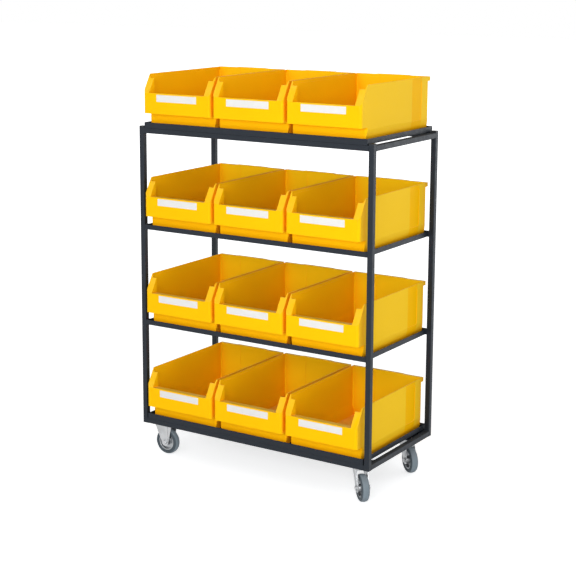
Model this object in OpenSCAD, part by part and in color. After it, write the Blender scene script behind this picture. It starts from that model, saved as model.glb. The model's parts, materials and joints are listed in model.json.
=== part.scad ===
// Picking trolley: a square-tube frame on casters with four trays of open-fronted bins.
// Millimetres, +Z up, the open fronts of the bins face -Y, the floor is at Z = 0.

/* [Frame] */
// Height of a post, from the underside of the frame
post_h = 1150; // [1120:5:1400]
// Side of the square tube
tube = 20; // [18:1:26]
// Wall of the square tube
tube_wall = 2; // [1:0.5:3]
// Outer corner radius of the square tube
tube_round = 2; // [0.5:0.5:3]
// Length of a post that stands above the top rails
post_over = 2.5; // [2:0.5:8]
// Thickness of a post cap's head
cap_t = 4; // [2:0.5:8]
// Depth of a post cap's plug in the tube
cap_plug = 12; // [6:1:25]
// Clearance round a post cap's plug
cap_gap = 0.1; // [0.05:0.05:0.3]

/* [Trays] */
// Height of the lower tray above the underside of the frame
lower_tray_z = 393; // [370:1:410]
// Height of the upper tray above the underside of the frame
upper_tray_z = 763; // [740:1:775]
// Height of a tray over its lip
tray_lip = 19; // [12:1:30]
// Sheet thickness of a tray
tray_sheet = 1.5; // [1:0.25:3]
// Space between a post and the end of a tray, filled by a spacer block
tray_end_gap = 5; // [2:0.5:9]
// Height of the runners that hold the end trays off the rails
runner_h = 2.5; // [2:0.5:9]
// Depth of a runner
runner_d = 12; // [6:1:18]

/* [Bins] */
// Width of a bin
bin_w = 300; // [260:1:400]
// Length of a bin, from its nose to its rear flange
bin_l = 500; // [440:1:620]
// Height of a bin's side walls
bin_h = 197; // [190:1:205]
// Wall of a bin
bin_wall = 3; // [2:0.25:4]
// Space between one bin and the next in a row
bin_gap = 12; // [4:1:30]
// Space between an end bin and the lip of its tray
bin_end_gap = 11.5; // [4:0.5:30]
// Overhang of the noses in front of the frame
bin_overhang = 20; // [10:1:26]
// Clearance under a bin
seat_gap = 0.3; // [0.2:0.05:0.6]
// Height of the nose's lower edge
foot_h = 53; // [40:1:60]
// Depth of the step from the nose back to the foot
foot_step = 38; // [36:1:45]
// Amount by which each side leans in at the foot
side_lean = 8; // [3:0.5:12]
// Height over which the sides lean in
lean_h = 45; // [40:1:75]
// Radius of the upright corners
corner_r = 10; // [5:0.5:14]
// Height of the nose
nose_h = 129; // [122:1:140]
// Depth of the ledge on top of the nose
ledge_d = 34; // [32:0.5:36]
// Fall of the ledge towards the inside
ledge_fall = 3; // [0:0.5:6]
// Run of the slanted front edges
slant_run = 40; // [36:1:42]
// Width of a front ear, from the outside of the side wall
ear_w = 26; // [18:1:40]
// Height of the ears' tops
ear_top = 182; // [176:1:183]
// Radius where an ear's top runs up into the side wall
ear_round = 8; // [4:0.5:10]
// Projection of the rear flange
flange_out = 10; // [6:1:14]
// Height of the rear flange
flange_h = 16; // [12:1:24]
// Rise of the middle of the rear rim
rim_rise = 1.5; // [1:0.5:6]
// Length of the raised middle of the rear rim
rim_l = 125; // [90:1:160]
// Depth of the thinner band along the top of the walls
lip_band = 10; // [6:1:14]
// Step at the thinner band
lip_step = 0.8; // [0.4:0.1:1.2]
// Width of the thinner panel in the rear wall
rear_panel_w = 100; // [60:1:140]
// Depth of the thinner panel in the rear wall
rear_panel_d = 0.8; // [0.4:0.1:1.2]
// Height of the thinner panel's lower edge
rear_panel_z = 14; // [8:1:30]
// Depth of the upright recess in each side
recess_d = 1.2; // [0.6:0.1:1.4]
// Width of the upright recess in each side
recess_w = 72; // [40:1:90]
// Distance from the rear wall to the recess
recess_rear = 56; // [30:1:70]
// Distance from the top of the side wall to the recess
recess_top = 13; // [8:0.5:20]

/* [Labels] */
// Length of a label strip
label_w = 180; // [140:1:200]
// Height of a label strip
label_h = 26; // [18:1:28]
// Thickness of a label strip
label_t = 0.6; // [0.4:0.1:0.8]
// Distance from the top of the front wall to a label
label_drop = 5; // [3:0.5:8]
// Depth of the pocket that holds a label
label_pocket = 0.8; // [0.8:0.1:1.2]

/* [Casters] */
// Height of a caster, from the floor to its mounting plate
caster_h = 130; // [126:1:145]
// Wheel diameter
wheel_d = 100; // [90:1:104]
// Tyre width
tyre_w = 30; // [24:1:34]
// Radius of the tyre's shoulders
tyre_round = 10; // [6:0.5:11]
// Diameter of the rim under the tyre
rim_d = 68; // [60:1:74]
// Clearance between the rim and the tyre
tyre_gap = 0.05; // [0.02:0.01:0.1]
// Wall of the rim under the tyre
rim_t = 4; // [2:0.5:6]
// Distance by which the tyre is wider than the rim, at each side
rim_side = 3; // [1:0.5:5]
// Thickness of the wheel centre's disc
disc_t = 5; // [3:0.5:8]
// Wall of the hub round the axle
hub_wall = 8; // [5:0.5:10]
// Axle diameter
axle_d = 10; // [8:0.5:12]
// Length of an axle's head
axle_head_t = 5; // [3:0.5:8]
// Distance by which an axle's head is larger than the axle
axle_head_edge = 4; // [2:0.5:5]
// Radial running clearance of axles and kingpins
run_gap = 0.05; // [0.02:0.01:0.1]
// Side clearance between a hub and the fork legs
hub_gap = 0.4; // [0.3:0.1:0.8]
// Clearance between the tyre and the fork legs
leg_gap = 3; // [2:0.5:5]
// Thickness of the pressed fork and bracket steel
leg_t = 2.5; // [2:0.25:4]
// Metal round the axle at the end of a leg
leg_end = 11; // [8:0.5:14]
// Width of a fixed bracket's legs at the top
bracket_w = 84; // [60:1:99]
// Distance by which a fixed bracket's legs lean out from the axle at the top
bracket_lean = 10; // [0:1:12]
// Width of the raised ribs down the legs
rib_w = 28; // [18:1:30]
// Height of the raised ribs down the legs
rib_out = 2; // [0.5:0.25:3]
// Length of a caster plate along the frame
plate_l = 105; // [100:1:115]
// Width of a caster plate
plate_w = 85; // [80:1:95]
// Thickness of a caster plate
plate_t = 3; // [2.5:0.25:4]
// Bolt spacing along the frame
bolt_l = 80; // [76:1:84]
// Bolt spacing across the frame
bolt_w = 60; // [56:1:64]
// Bolt diameter
bolt_d = 8; // [6:0.5:8]
// Radial clearance of the bolt holes
bolt_gap = 0.2; // [0.1:0.05:0.3]
// Distance by which a bolt's head and nut are larger than the bolt
hex_edge = 3; // [2:0.25:4]
// Height of a bolt's head
bolt_head_h = 5; // [3:0.5:6]
// Height of a nut
nut_h = 6; // [4:0.5:8]
// Thickness of the mounting plates in the frame's corners
mount_t = 4; // [3:0.5:6]
// Distance from the end of the frame to the middle of a fixed caster
fixed_inset = 72.5; // [65:0.5:90]
// Distance from the end of the frame to the kingpin of a swivel caster
swivel_inset = 70; // [65:0.5:90]
// Distance from the front or rear of the frame to the middle of a caster
caster_inset_y = 62.5; // [60:0.5:80]
// Offset of a swivel wheel from its kingpin
trail = 32; // [25:1:38]
// Kingpin diameter
kingpin_d = 12; // [10:0.5:14]
// Distance by which the kingpin's head is larger than the kingpin
kingpin_edge = 4; // [2:0.5:6]
// Width of a fork's legs at the top
fork_w = 60; // [44:1:64]
// Radius of the swivel head
head_r = 30; // [24:1:34]
// Height of each half of the swivel head
head_h = 6; // [4:0.5:8]
// Running gap in the swivel head
head_gap = 0.4; // [0.3:0.1:0.8]
// Direction in which the front swivel wheel trails, from +X
swivel_front_angle = -43; // [-180:1:180]
// Direction in which the rear swivel wheel trails, from +X
swivel_rear_angle = -38; // [-180:1:180]

/* [Hidden] */
$fn = 64;
eps = 0.01;
over = 1;

// The trays and the frame take their length and depth from the bins that they hold.
columns = 3;
bin_pitch = bin_w + bin_gap;
tray_l = columns * bin_w + (columns - 1) * bin_gap + 2 * (bin_end_gap + tray_sheet);
frame_w = tray_l + 2 * (tray_end_gap + tube);
frame_d = bin_l - bin_overhang;
half_w = frame_w / 2;
half_d = frame_d / 2;
base_z = caster_h;

// The frame stands back from the middle of the part by half the overhang of the bins.
part_front = -half_d - bin_overhang;
frame_y = bin_overhang / 2;

top_rail_z = post_h - post_over - tube;
tray_z = [tube + runner_h, lower_tray_z, upper_tray_z, top_rail_z + tube + runner_h];
BOTTOM = 0;
LOWER = 1;
UPPER = 2;
TOP = 3;
LEFT = -1;
MIDDLE = 0;
RIGHT = 1;
FRONT = -1;
REAR = 1;

bin_body_l = bin_l - flange_out;
slant_k = slant_run / (bin_h - nose_h);
slant_wall = bin_wall * sqrt(1 + slant_k * slant_k);

wheel_r = wheel_d / 2;
rim_r = rim_d / 2;
axle_r = axle_d / 2;
bolt_r = bolt_d / 2;
kingpin_r = kingpin_d / 2;
leg_in = tyre_w / 2 + leg_gap;
leg_out = leg_in + leg_t;
hub_half = leg_in - hub_gap;
hub_r = axle_r + hub_wall;
leg_end_r = axle_r + leg_end;
axle_head_r = axle_r + axle_head_edge;
hex_r = bolt_r + hex_edge;
plate_z = caster_h - plate_t;
race_z = plate_z - head_h;
crown_z = race_z - head_gap - head_h;
web_z = crown_z - leg_t;
mount_w = caster_inset_y + plate_w / 2 - tube + over;

steel_paint = "#3b4049";
cap_black = "#17181a";
bin_yellow = "#f9cf0c";
label_white = "#f7f7f5";
zinc = "#c6c9cc";
rim_grey = "#b4babd";
tyre_grey = "#78868f";

// A rectangle with round corners, centred on the origin.
module rounded_square(w, d, r) {
    square([w - 2 * r, d], center = true);
    square([w, d - 2 * r], center = true);
    for (x = [-1, 1], y = [-1, 1])
        translate([x * (w / 2 - r), y * (d / 2 - r)])
            circle(r);
}

// A length of square tube along +Z.
module square_tube(length) {
    linear_extrude(length)
        difference() {
            rounded_square(tube, tube, tube_round);
            square(tube - 2 * tube_wall, center = true);
        }
}

// Children in the frame's own place, with Z = 0 at the frame's underside.
module on_frame() {
    translate([0, frame_y, base_z])
        children();
}

// Children at the middle of a post.
module at_post(side, face) {
    translate([side * (half_w - tube / 2), face * (half_d - tube / 2), 0])
        children();
}

module post(side, face) {
    color(steel_paint)
        on_frame()
            at_post(side, face)
                square_tube(post_h);
}

module post_caps() {
    plug = tube - 2 * tube_wall - 2 * cap_gap;
    color(cap_black)
        on_frame()
            for (side = [LEFT, RIGHT], face = [FRONT, REAR])
                at_post(side, face)
                    translate([0, 0, post_h]) {
                        linear_extrude(cap_t)
                            rounded_square(tube, tube, tube_round);
                        translate([-plug / 2, -plug / 2, -cap_plug])
                            cube([plug, plug, cap_plug + eps]);
                    }
}

// The front and rear rails of one level, between the posts.
module long_rails(z) {
    color(steel_paint)
        on_frame()
            for (face = [FRONT, REAR])
                translate([-half_w + tube, face * (half_d - tube / 2), z + tube / 2])
                    rotate([0, 90, 0])
                        square_tube(frame_w - 2 * tube);
}

// The end rails of one level, between the posts.
module cross_rails(z) {
    color(steel_paint)
        on_frame()
            for (side = [LEFT, RIGHT])
                translate([side * (half_w - tube / 2), half_d - tube, z + tube / 2])
                    rotate([90, 0, 0])
                        square_tube(frame_d - 2 * tube);
}

// A sheet tray with upright lips; the end trays stand on runners.
module tray(level) {
    color(steel_paint)
        on_frame()
            translate([0, 0, tray_z[level]]) {
                difference() {
                    translate([-tray_l / 2, -half_d, 0])
                        cube([tray_l, frame_d, tray_lip]);
                    translate([-tray_l / 2 + tray_sheet, -half_d + tray_sheet, tray_sheet])
                        cube([tray_l - 2 * tray_sheet, frame_d - 2 * tray_sheet, tray_lip]);
                }
                if (level == BOTTOM || level == TOP)
                    for (face = [FRONT, REAR])
                        translate([-tray_l / 2, face * (half_d - runner_d / 2) - runner_d / 2, -runner_h])
                            cube([tray_l, runner_d, runner_h]);
            }
}

// Blocks that join the middle trays to the posts.
module tray_spacers() {
    color(steel_paint)
        on_frame()
            for (level = [LOWER, UPPER], side = [LEFT, RIGHT], face = [FRONT, REAR])
                translate([side * (tray_l + tray_end_gap) / 2, face * (half_d - tube / 2), tray_z[level]])
                    translate([-tray_end_gap / 2, -tube / 2, 0])
                        cube([tray_end_gap, tube, tray_lip]);
}

function inset_x(side) = side == LEFT ? fixed_inset : swivel_inset;

// Children at the middle of a caster, with Z = 0 on the floor.
module at_caster(side, face) {
    translate([side * (half_w - inset_x(side)), frame_y + face * (half_d - caster_inset_y), 0])
        children();
}

// Children at each bolt of a caster plate.
module at_bolts() {
    for (x = [-1, 1], y = [-1, 1])
        translate([x * bolt_l / 2, y * bolt_w / 2, 0])
            children();
}

module bolt_holes(z, t) {
    at_bolts()
        translate([0, 0, z - over])
            cylinder(h = t + 2 * over, r = bolt_r + bolt_gap);
}

// A plate in one corner of the frame, from the rails to just past the caster.
module mounting_plate(side, face) {
    mount_l = inset_x(side) + plate_l / 2 - tube + over;
    difference() {
        translate([side * (half_w - tube - mount_l / 2) - mount_l / 2,
                   frame_y + face * (half_d - tube - mount_w / 2) - mount_w / 2, base_z])
            cube([mount_l, mount_w, mount_t]);
        at_caster(side, face)
            bolt_holes(base_z, mount_t);
    }
}

module caster_mounting_plates() {
    color(steel_paint)
        for (side = [LEFT, RIGHT], face = [FRONT, REAR])
            mounting_plate(side, face);
}

// Outline of a bin's end, drawn in by an inset.
module bin_end_outline(inset, top) {
    half = bin_w / 2 - inset;
    lean = side_lean * (lean_h - inset) / lean_h;
    polygon([
        [-half + lean, inset],
        [half - lean, inset],
        [half, lean_h],
        [half, top],
        [-half, top],
        [-half, lean_h]
    ]);
}

// Outline of a bin from above, from a given front line back, drawn in by an inset.
module bin_plan_outline(front, inset) {
    rear = bin_body_l - inset;
    translate([0, (front + rear) / 2])
        rounded_square(bin_w - 2 * inset, rear - front, corner_r - inset);
}

// Body of a bin with its foot, drawn in by an inset.
module bin_core(front, inset, top) {
    step_z = foot_h + inset;
    intersection() {
        translate([0, bin_l, 0])
            rotate([90, 0, 0])
                linear_extrude(bin_l)
                    bin_end_outline(inset, top);
        union() {
            translate([0, 0, step_z])
                linear_extrude(top - step_z)
                    bin_plan_outline(front, inset);
            linear_extrude(step_z + eps)
                bin_plan_outline(foot_step + inset, inset);
        }
    }
}

// Children given as an outline in Y and Z, drawn across a bin.
module across(from_x, to_x) {
    translate([from_x, 0, 0])
        rotate([90, 0, 90])
            linear_extrude(to_x - from_x)
                children();
}

// Space in front of the slanted edges.
module slant_outline() {
    polygon([
        [-over, nose_h],
        [0, nose_h],
        [slant_run, bin_h],
        [slant_run, bin_h + over],
        [-over, bin_h + over]
    ]);
}

// Space above the ledge, between the ears.
module ledge_outline() {
    polygon([
        [-over, nose_h],
        [0, nose_h],
        [ledge_d, nose_h - ledge_fall],
        [ledge_d + over, nose_h - ledge_fall],
        [ledge_d + over, bin_h + over],
        [-over, bin_h + over]
    ]);
}

// Front view of the space above the ears, with a fillet at each side wall.
module ear_top_outline() {
    wide = bin_w / 2 - bin_wall;
    difference() {
        translate([-wide, ear_top])
            square([2 * wide, bin_h]);
        for (x = [-1, 1])
            difference() {
                translate([x * (wide - ear_round / 2) - ear_round / 2, ear_top])
                    square(ear_round);
                translate([x * (wide - ear_round), ear_top + ear_round])
                    circle(ear_round);
            }
    }
}

// Hollow of the nose under the ledge, open below.
module nose_hollow_outline() {
    polygon([
        [bin_wall, foot_h - over],
        [ledge_d - bin_wall, foot_h - over],
        [ledge_d - bin_wall, nose_h - ledge_fall - bin_wall],
        [bin_wall, nose_h - ledge_fall - bin_wall]
    ]);
}

// Hollow of an ear behind its slanted face, open into the nose below.
module ear_hollow_outline() {
    polygon([
        [bin_wall, foot_h],
        [ledge_d - bin_wall, foot_h],
        [ledge_d - bin_wall, nose_h + (ledge_d - bin_wall - slant_wall) / slant_k],
        [bin_wall, nose_h + (bin_wall - slant_wall) / slant_k]
    ]);
}

module nose_hollow() {
    outer = bin_w / 2 - bin_wall;
    inner = bin_w / 2 - ear_w + bin_wall;
    intersection() {
        union() {
            across(-outer, outer)
                nose_hollow_outline();
            across(-outer, -inner)
                ear_hollow_outline();
            across(inner, outer)
                ear_hollow_outline();
        }
        linear_extrude(bin_h)
            bin_plan_outline(bin_wall, bin_wall);
    }
}

// Rear flange with its raised middle.
module bin_flange() {
    reach = corner_r + flange_out;
    slope = 8 * rim_rise;
    translate([-bin_w / 2, bin_l - reach, bin_h - flange_h])
        cube([bin_w, reach, flange_h]);
    translate([0, bin_l, bin_h - flange_h])
        rotate([90, 0, 0])
            linear_extrude(reach)
                polygon([
                    [-rim_l / 2 - slope, 0],
                    [rim_l / 2 + slope, 0],
                    [rim_l / 2 + slope, flange_h],
                    [rim_l / 2, flange_h + rim_rise],
                    [-rim_l / 2, flange_h + rim_rise],
                    [-rim_l / 2 - slope, flange_h]
                ]);
}

// Upright recess near the rear of each side.
module side_recesses() {
    recess_h = bin_h - recess_top - lean_h;
    for (side = [LEFT, RIGHT])
        translate([side * bin_w / 2, bin_body_l - recess_rear - recess_w / 2, lean_h + recess_h / 2])
            rotate([90, 0, 90])
                linear_extrude(2 * recess_d, center = true)
                    rounded_square(recess_w, recess_h, corner_r);
}

// One open-fronted bin, its nose at Y = 0 and its underside at Z = 0.
module bin_shape() {
    window = bin_w / 2 - ear_w;
    band_w = bin_w - 2 * (bin_wall - lip_step);
    band_y = slant_run + slant_wall;
    difference() {
        union() {
            bin_core(0, 0, bin_h);
            bin_flange();
        }
        bin_core(ledge_d, bin_wall, bin_h + rim_rise + over);
        translate([-band_w / 2, band_y, bin_h - lip_band])
            cube([band_w, bin_body_l - bin_wall - band_y, lip_band + rim_rise + over]);
        translate([-rear_panel_w / 2, bin_body_l - bin_wall - over, rear_panel_z])
            cube([rear_panel_w, over + rear_panel_d, bin_h]);
        across(-bin_w / 2 - over, bin_w / 2 + over)
            slant_outline();
        across(-window, window)
            ledge_outline();
        translate([0, ledge_d + over, 0])
            rotate([90, 0, 0])
                linear_extrude(ledge_d + 2 * over)
                    ear_top_outline();
        nose_hollow();
        side_recesses();
        translate([-label_w / 2, -over, nose_h - label_drop - label_h])
            cube([label_w, over + label_pocket, label_h]);
    }
}

// Children in the place of one bin.
module at_bin(level, column) {
    translate([column * bin_pitch, part_front + frame_y, base_z + tray_z[level] + tray_sheet + seat_gap])
        children();
}

module bin(level, column) {
    color(bin_yellow)
        at_bin(level, column)
            bin_shape();
}

module label(level, column) {
    color(label_white)
        at_bin(level, column)
            translate([-label_w / 2, label_pocket - label_t, nose_h - label_drop - label_h])
                cube([label_w, label_t, label_h]);
}

// Side view of a leg or its rib, from the top edge down to a round end at the axle.
module leg_outline(top_x, top_half, end_r, top_z, axle_x) {
    polygon([
        [top_x - top_half, top_z],
        [top_x + top_half, top_z],
        [axle_x + end_r, wheel_r],
        [axle_x - end_r, wheel_r]
    ]);
    translate([axle_x, wheel_r])
        circle(end_r);
}

// The two legs of a fork with a raised rib down the outside of each.
module fork_legs(top_x, top_half, top_z, axle_x) {
    for (side = [-1, 1]) {
        translate([0, side * (leg_in + leg_t / 2), 0])
            rotate([90, 0, 0])
                linear_extrude(leg_t, center = true)
                    leg_outline(top_x, top_half, leg_end_r, top_z + eps, axle_x);
        translate([0, side * (leg_out + rib_out / 2 - eps), 0])
            rotate([90, 0, 0])
                linear_extrude(rib_out + 2 * eps, center = true)
                    leg_outline(0, rib_w / 2, rib_w / 2, top_z, axle_x);
    }
}

module axle_bore(axle_x) {
    translate([axle_x, 0, wheel_r])
        rotate([90, 0, 0])
            cylinder(h = 2 * (leg_out + rib_out + over), r = axle_r + run_gap, center = true);
}

module caster_plate() {
    translate([-plate_l / 2, -plate_w / 2, plate_z])
        cube([plate_l, plate_w, plate_t]);
}

module fixed_bracket(face) {
    color(zinc)
        at_caster(LEFT, face)
            difference() {
                union() {
                    caster_plate();
                    fork_legs(-bracket_lean, bracket_w / 2, plate_z, 0);
                }
                bolt_holes(plate_z, plate_t);
                axle_bore(0);
            }
}

// An axle with a head at each end, across a fork.
module axle_shape() {
    seat = leg_out + rib_out;
    rotate([90, 0, 0])
        cylinder(h = 2 * seat + 2 * eps, r = axle_r, center = true);
    for (side = [0, 180])
        rotate([90, 0, side])
            translate([0, 0, seat])
                cylinder(h = axle_head_t, r = axle_head_r, $fn = 6);
}

// Pressed wheel centre: hub, web and rim, turned about the axle.
module hub_shape() {
    rim_half = tyre_w / 2 - rim_side;
    disc_half = disc_t / 2;
    rim_in = rim_r - rim_t;
    draft = disc_half;
    rotate([90, 0, 0])
        rotate_extrude()
            polygon([
                [axle_r + run_gap, -hub_half],
                [hub_r, -hub_half],
                [hub_r + draft, -disc_half],
                [rim_in - draft, -disc_half],
                [rim_in, -rim_half],
                [rim_r, -rim_half],
                [rim_r, rim_half],
                [rim_in, rim_half],
                [rim_in - draft, disc_half],
                [hub_r + draft, disc_half],
                [hub_r, hub_half],
                [axle_r + run_gap, hub_half]
            ]);
}

// Solid rubber tyre with round shoulders.
module tyre_shape() {
    tyre_in = rim_r + tyre_gap;
    shoulder = wheel_r - tyre_round;
    flat = tyre_w / 2 - tyre_round;
    rotate([90, 0, 0])
        rotate_extrude()
            intersection() {
                translate([tyre_in, -tyre_w / 2])
                    square([wheel_r - tyre_in, tyre_w]);
                union() {
                    translate([0, -tyre_w / 2])
                        square([shoulder, tyre_w]);
                    translate([0, -flat])
                        square([wheel_r, 2 * flat]);
                    for (side = [-1, 1])
                        translate([shoulder, side * flat])
                            circle(tyre_round);
                }
            }
}

module fixed_axle(face) {
    color(zinc)
        at_caster(LEFT, face)
            translate([0, 0, wheel_r])
                axle_shape();
}

module fixed_hub(face) {
    color(rim_grey)
        at_caster(LEFT, face)
            translate([0, 0, wheel_r])
                hub_shape();
}

module fixed_tyre(face) {
    color(tyre_grey)
        at_caster(LEFT, face)
            translate([0, 0, wheel_r])
                tyre_shape();
}

function swivel_angle(face) = face == FRONT ? swivel_front_angle : swivel_rear_angle;

// Children at a swivel caster, turned to the way its wheel trails.
module at_swivel(face) {
    at_caster(RIGHT, face)
        rotate([0, 0, swivel_angle(face)])
            children();
}

// Mounting plate of a swivel caster with the upper half of the swivel head.
module swivel_plate(face) {
    color(zinc)
        at_caster(RIGHT, face)
            difference() {
                union() {
                    caster_plate();
                    translate([0, 0, race_z])
                        cylinder(h = head_h + eps, r = head_r);
                }
                bolt_holes(plate_z, plate_t);
                translate([0, 0, race_z - over])
                    cylinder(h = caster_h, r = kingpin_r + run_gap);
            }
}

// Riveted pin that carries a swivel fork under its plate.
module swivel_kingpin(face) {
    pin_low = web_z - head_gap;
    color(zinc)
        at_caster(RIGHT, face) {
            translate([0, 0, pin_low])
                cylinder(h = caster_h - pin_low, r = kingpin_r);
            translate([0, 0, pin_low - leg_t])
                cylinder(h = leg_t, r = kingpin_r + kingpin_edge);
        }
}

module swivel_fork(face) {
    color(zinc)
        at_swivel(face)
            difference() {
                union() {
                    translate([0, 0, crown_z])
                        cylinder(h = head_h, r = head_r);
                    translate([-fork_w / 2, -leg_out, web_z])
                        cube([fork_w, 2 * leg_out, leg_t + eps]);
                    fork_legs(0, fork_w / 2, web_z, trail);
                }
                translate([0, 0, web_z - over])
                    cylinder(h = head_h + leg_t + 2 * over, r = kingpin_r + run_gap);
                axle_bore(trail);
            }
}

module swivel_axle(face) {
    color(zinc)
        at_swivel(face)
            translate([trail, 0, wheel_r])
                axle_shape();
}

module swivel_hub(face) {
    color(rim_grey)
        at_swivel(face)
            translate([trail, 0, wheel_r])
                hub_shape();
}

module swivel_tyre(face) {
    color(tyre_grey)
        at_swivel(face)
            translate([trail, 0, wheel_r])
                tyre_shape();
}

// Hexagon bolts through the caster plates, each with its nut above the mounting plate.
module caster_bolts() {
    grip = plate_t + mount_t;
    color(zinc)
        for (side = [LEFT, RIGHT], face = [FRONT, REAR])
            at_caster(side, face)
                at_bolts()
                    translate([0, 0, plate_z]) {
                        translate([0, 0, -bolt_head_h])
                            cylinder(h = bolt_head_h, r = hex_r, $fn = 6);
                        translate([0, 0, -eps])
                            cylinder(h = grip + nut_h + eps, r = bolt_r);
                        translate([0, 0, grip])
                            difference() {
                                cylinder(h = nut_h, r = hex_r, $fn = 6);
                                translate([0, 0, -over])
                                    cylinder(h = nut_h + 2 * over, r = bolt_r + run_gap);
                            }
                    }
}

post(LEFT, FRONT);  // post_front_left
post(RIGHT, FRONT);  // post_front_right
post(LEFT, REAR);  // post_rear_left
post(RIGHT, REAR);  // post_rear_right
post_caps();
long_rails(top_rail_z);  // top_long_rails
cross_rails(top_rail_z);  // top_cross_rails
long_rails(0);  // bottom_long_rails
cross_rails(0);  // bottom_cross_rails
tray(BOTTOM);  // tray_bottom
tray(LOWER);  // tray_lower
tray(UPPER);  // tray_upper
tray(TOP);  // tray_top
tray_spacers();
caster_mounting_plates();
bin(BOTTOM, LEFT);  // bin_bottom_left
bin(BOTTOM, MIDDLE);  // bin_bottom_middle
bin(BOTTOM, RIGHT);  // bin_bottom_right
bin(LOWER, LEFT);  // bin_lower_left
bin(LOWER, MIDDLE);  // bin_lower_middle
bin(LOWER, RIGHT);  // bin_lower_right
bin(UPPER, LEFT);  // bin_upper_left
bin(UPPER, MIDDLE);  // bin_upper_middle
bin(UPPER, RIGHT);  // bin_upper_right
bin(TOP, LEFT);  // bin_top_left
bin(TOP, MIDDLE);  // bin_top_middle
bin(TOP, RIGHT);  // bin_top_right
label(BOTTOM, LEFT);  // label_bottom_left
label(BOTTOM, MIDDLE);  // label_bottom_middle
label(BOTTOM, RIGHT);  // label_bottom_right
label(LOWER, LEFT);  // label_lower_left
label(LOWER, MIDDLE);  // label_lower_middle
label(LOWER, RIGHT);  // label_lower_right
label(UPPER, LEFT);  // label_upper_left
label(UPPER, MIDDLE);  // label_upper_middle
label(UPPER, RIGHT);  // label_upper_right
label(TOP, LEFT);  // label_top_left
label(TOP, MIDDLE);  // label_top_middle
label(TOP, RIGHT);  // label_top_right
fixed_bracket(FRONT);  // fixed_bracket_front
fixed_axle(FRONT);  // fixed_axle_front
fixed_hub(FRONT);  // fixed_hub_front
fixed_tyre(FRONT);  // fixed_tyre_front
fixed_bracket(REAR);  // fixed_bracket_rear
fixed_axle(REAR);  // fixed_axle_rear
fixed_hub(REAR);  // fixed_hub_rear
fixed_tyre(REAR);  // fixed_tyre_rear
swivel_plate(FRONT);  // swivel_plate_front
swivel_kingpin(FRONT);  // swivel_kingpin_front
swivel_fork(FRONT);  // swivel_fork_front
swivel_axle(FRONT);  // swivel_axle_front
swivel_hub(FRONT);  // swivel_hub_front
swivel_tyre(FRONT);  // swivel_tyre_front
swivel_plate(REAR);  // swivel_plate_rear
swivel_kingpin(REAR);  // swivel_kingpin_rear
swivel_fork(REAR);  // swivel_fork_rear
swivel_axle(REAR);  // swivel_axle_rear
swivel_hub(REAR);  // swivel_hub_rear
swivel_tyre(REAR);  // swivel_tyre_rear
caster_bolts();
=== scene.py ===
import functools
import json
import math

import bmesh
import bpy
from mathutils import Matrix, Vector


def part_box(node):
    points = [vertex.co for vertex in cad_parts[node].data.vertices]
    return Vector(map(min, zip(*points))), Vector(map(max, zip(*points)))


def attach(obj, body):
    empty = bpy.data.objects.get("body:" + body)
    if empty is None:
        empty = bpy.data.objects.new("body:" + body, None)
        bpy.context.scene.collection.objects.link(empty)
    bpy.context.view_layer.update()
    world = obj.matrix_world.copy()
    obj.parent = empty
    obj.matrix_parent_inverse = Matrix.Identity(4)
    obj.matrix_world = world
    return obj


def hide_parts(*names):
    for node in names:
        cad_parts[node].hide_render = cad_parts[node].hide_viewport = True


bl_info = {
    "name": "Picking Trolley",
    "version": (1, 0, 0),
    "blender": (4, 5, 0),
    "location": "3D View > Sidebar > Trolley",
    "description": "Finishes and small parts of a picking trolley with twelve open-fronted bins",
    "category": "Object",
}

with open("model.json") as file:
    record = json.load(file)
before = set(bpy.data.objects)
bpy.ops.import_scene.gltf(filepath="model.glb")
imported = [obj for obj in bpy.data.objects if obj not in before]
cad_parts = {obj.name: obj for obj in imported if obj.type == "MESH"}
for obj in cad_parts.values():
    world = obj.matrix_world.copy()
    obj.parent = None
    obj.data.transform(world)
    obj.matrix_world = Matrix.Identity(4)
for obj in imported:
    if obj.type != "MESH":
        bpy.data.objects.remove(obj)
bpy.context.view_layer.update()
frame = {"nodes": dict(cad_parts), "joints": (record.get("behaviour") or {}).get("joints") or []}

# Names of the trolley's pieces
ROWS = ("bottom", "lower", "upper", "top")
COLUMNS = ("left", "middle", "right")
ENDS = ("front", "rear")
BIN_PLACES = [f"{row}_{column}" for row in ROWS for column in COLUMNS]
POSTS = [f"post_{end}_{side}" for end in ENDS for side in ("left", "right")]
RAILS = ["top_long_rails", "top_cross_rails", "bottom_long_rails", "bottom_cross_rails"]
TRAYS = [f"tray_{row}" for row in ROWS]
SHEET_NODES = TRAYS + ["tray_spacers", "caster_mounting_plates"]
CASTER_PIECES = (
    "fixed_bracket", "fixed_axle",
    "swivel_plate", "swivel_kingpin", "swivel_fork", "swivel_axle",
)
ZINC_NODES = [f"{piece}_{end}" for piece in CASTER_PIECES for end in ENDS] + ["caster_bolts"]
WHEELS = [(kind, end) for kind in ("fixed", "swivel") for end in ENDS]

# A bin's box, half its width, and the step from one bin to the next, in metres
BIN_LOW, BIN_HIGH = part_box("bin_top_middle")
BIN_HALF = (BIN_HIGH.x - BIN_LOW.x) / 2.0
BIN_PITCH = BIN_LOW.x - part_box("bin_top_left")[0].x

# Front and rear lines of the upright recess in a bin's sides, from its distance to the rear and its width
RECESS_INSET = 0.066
RECESS_WIDTH = 0.072
RECESS_REAR = BIN_HIGH.y - RECESS_INSET
RECESS_FRONT = RECESS_REAR - RECESS_WIDTH

# Where a bin's outer sides begin, and where they count in full, in the painted-sheen masks of its plastic
SIDES_FROM = BIN_HALF - 0.030
SIDES_FULL = BIN_HALF - 0.010

# Half the blur of a mask's line, and how far apart two walls still shade each other
LINE_BLUR = 0.001
GAP_REACH = 0.045

# Rounding of the CAD nodes: how near points join, which bends stay flat and which edges are rounded
JOIN_DISTANCE = 0.00002
FLAT_BEND = math.radians(1.0)
SHARP_BEND = math.radians(32.0)

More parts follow.
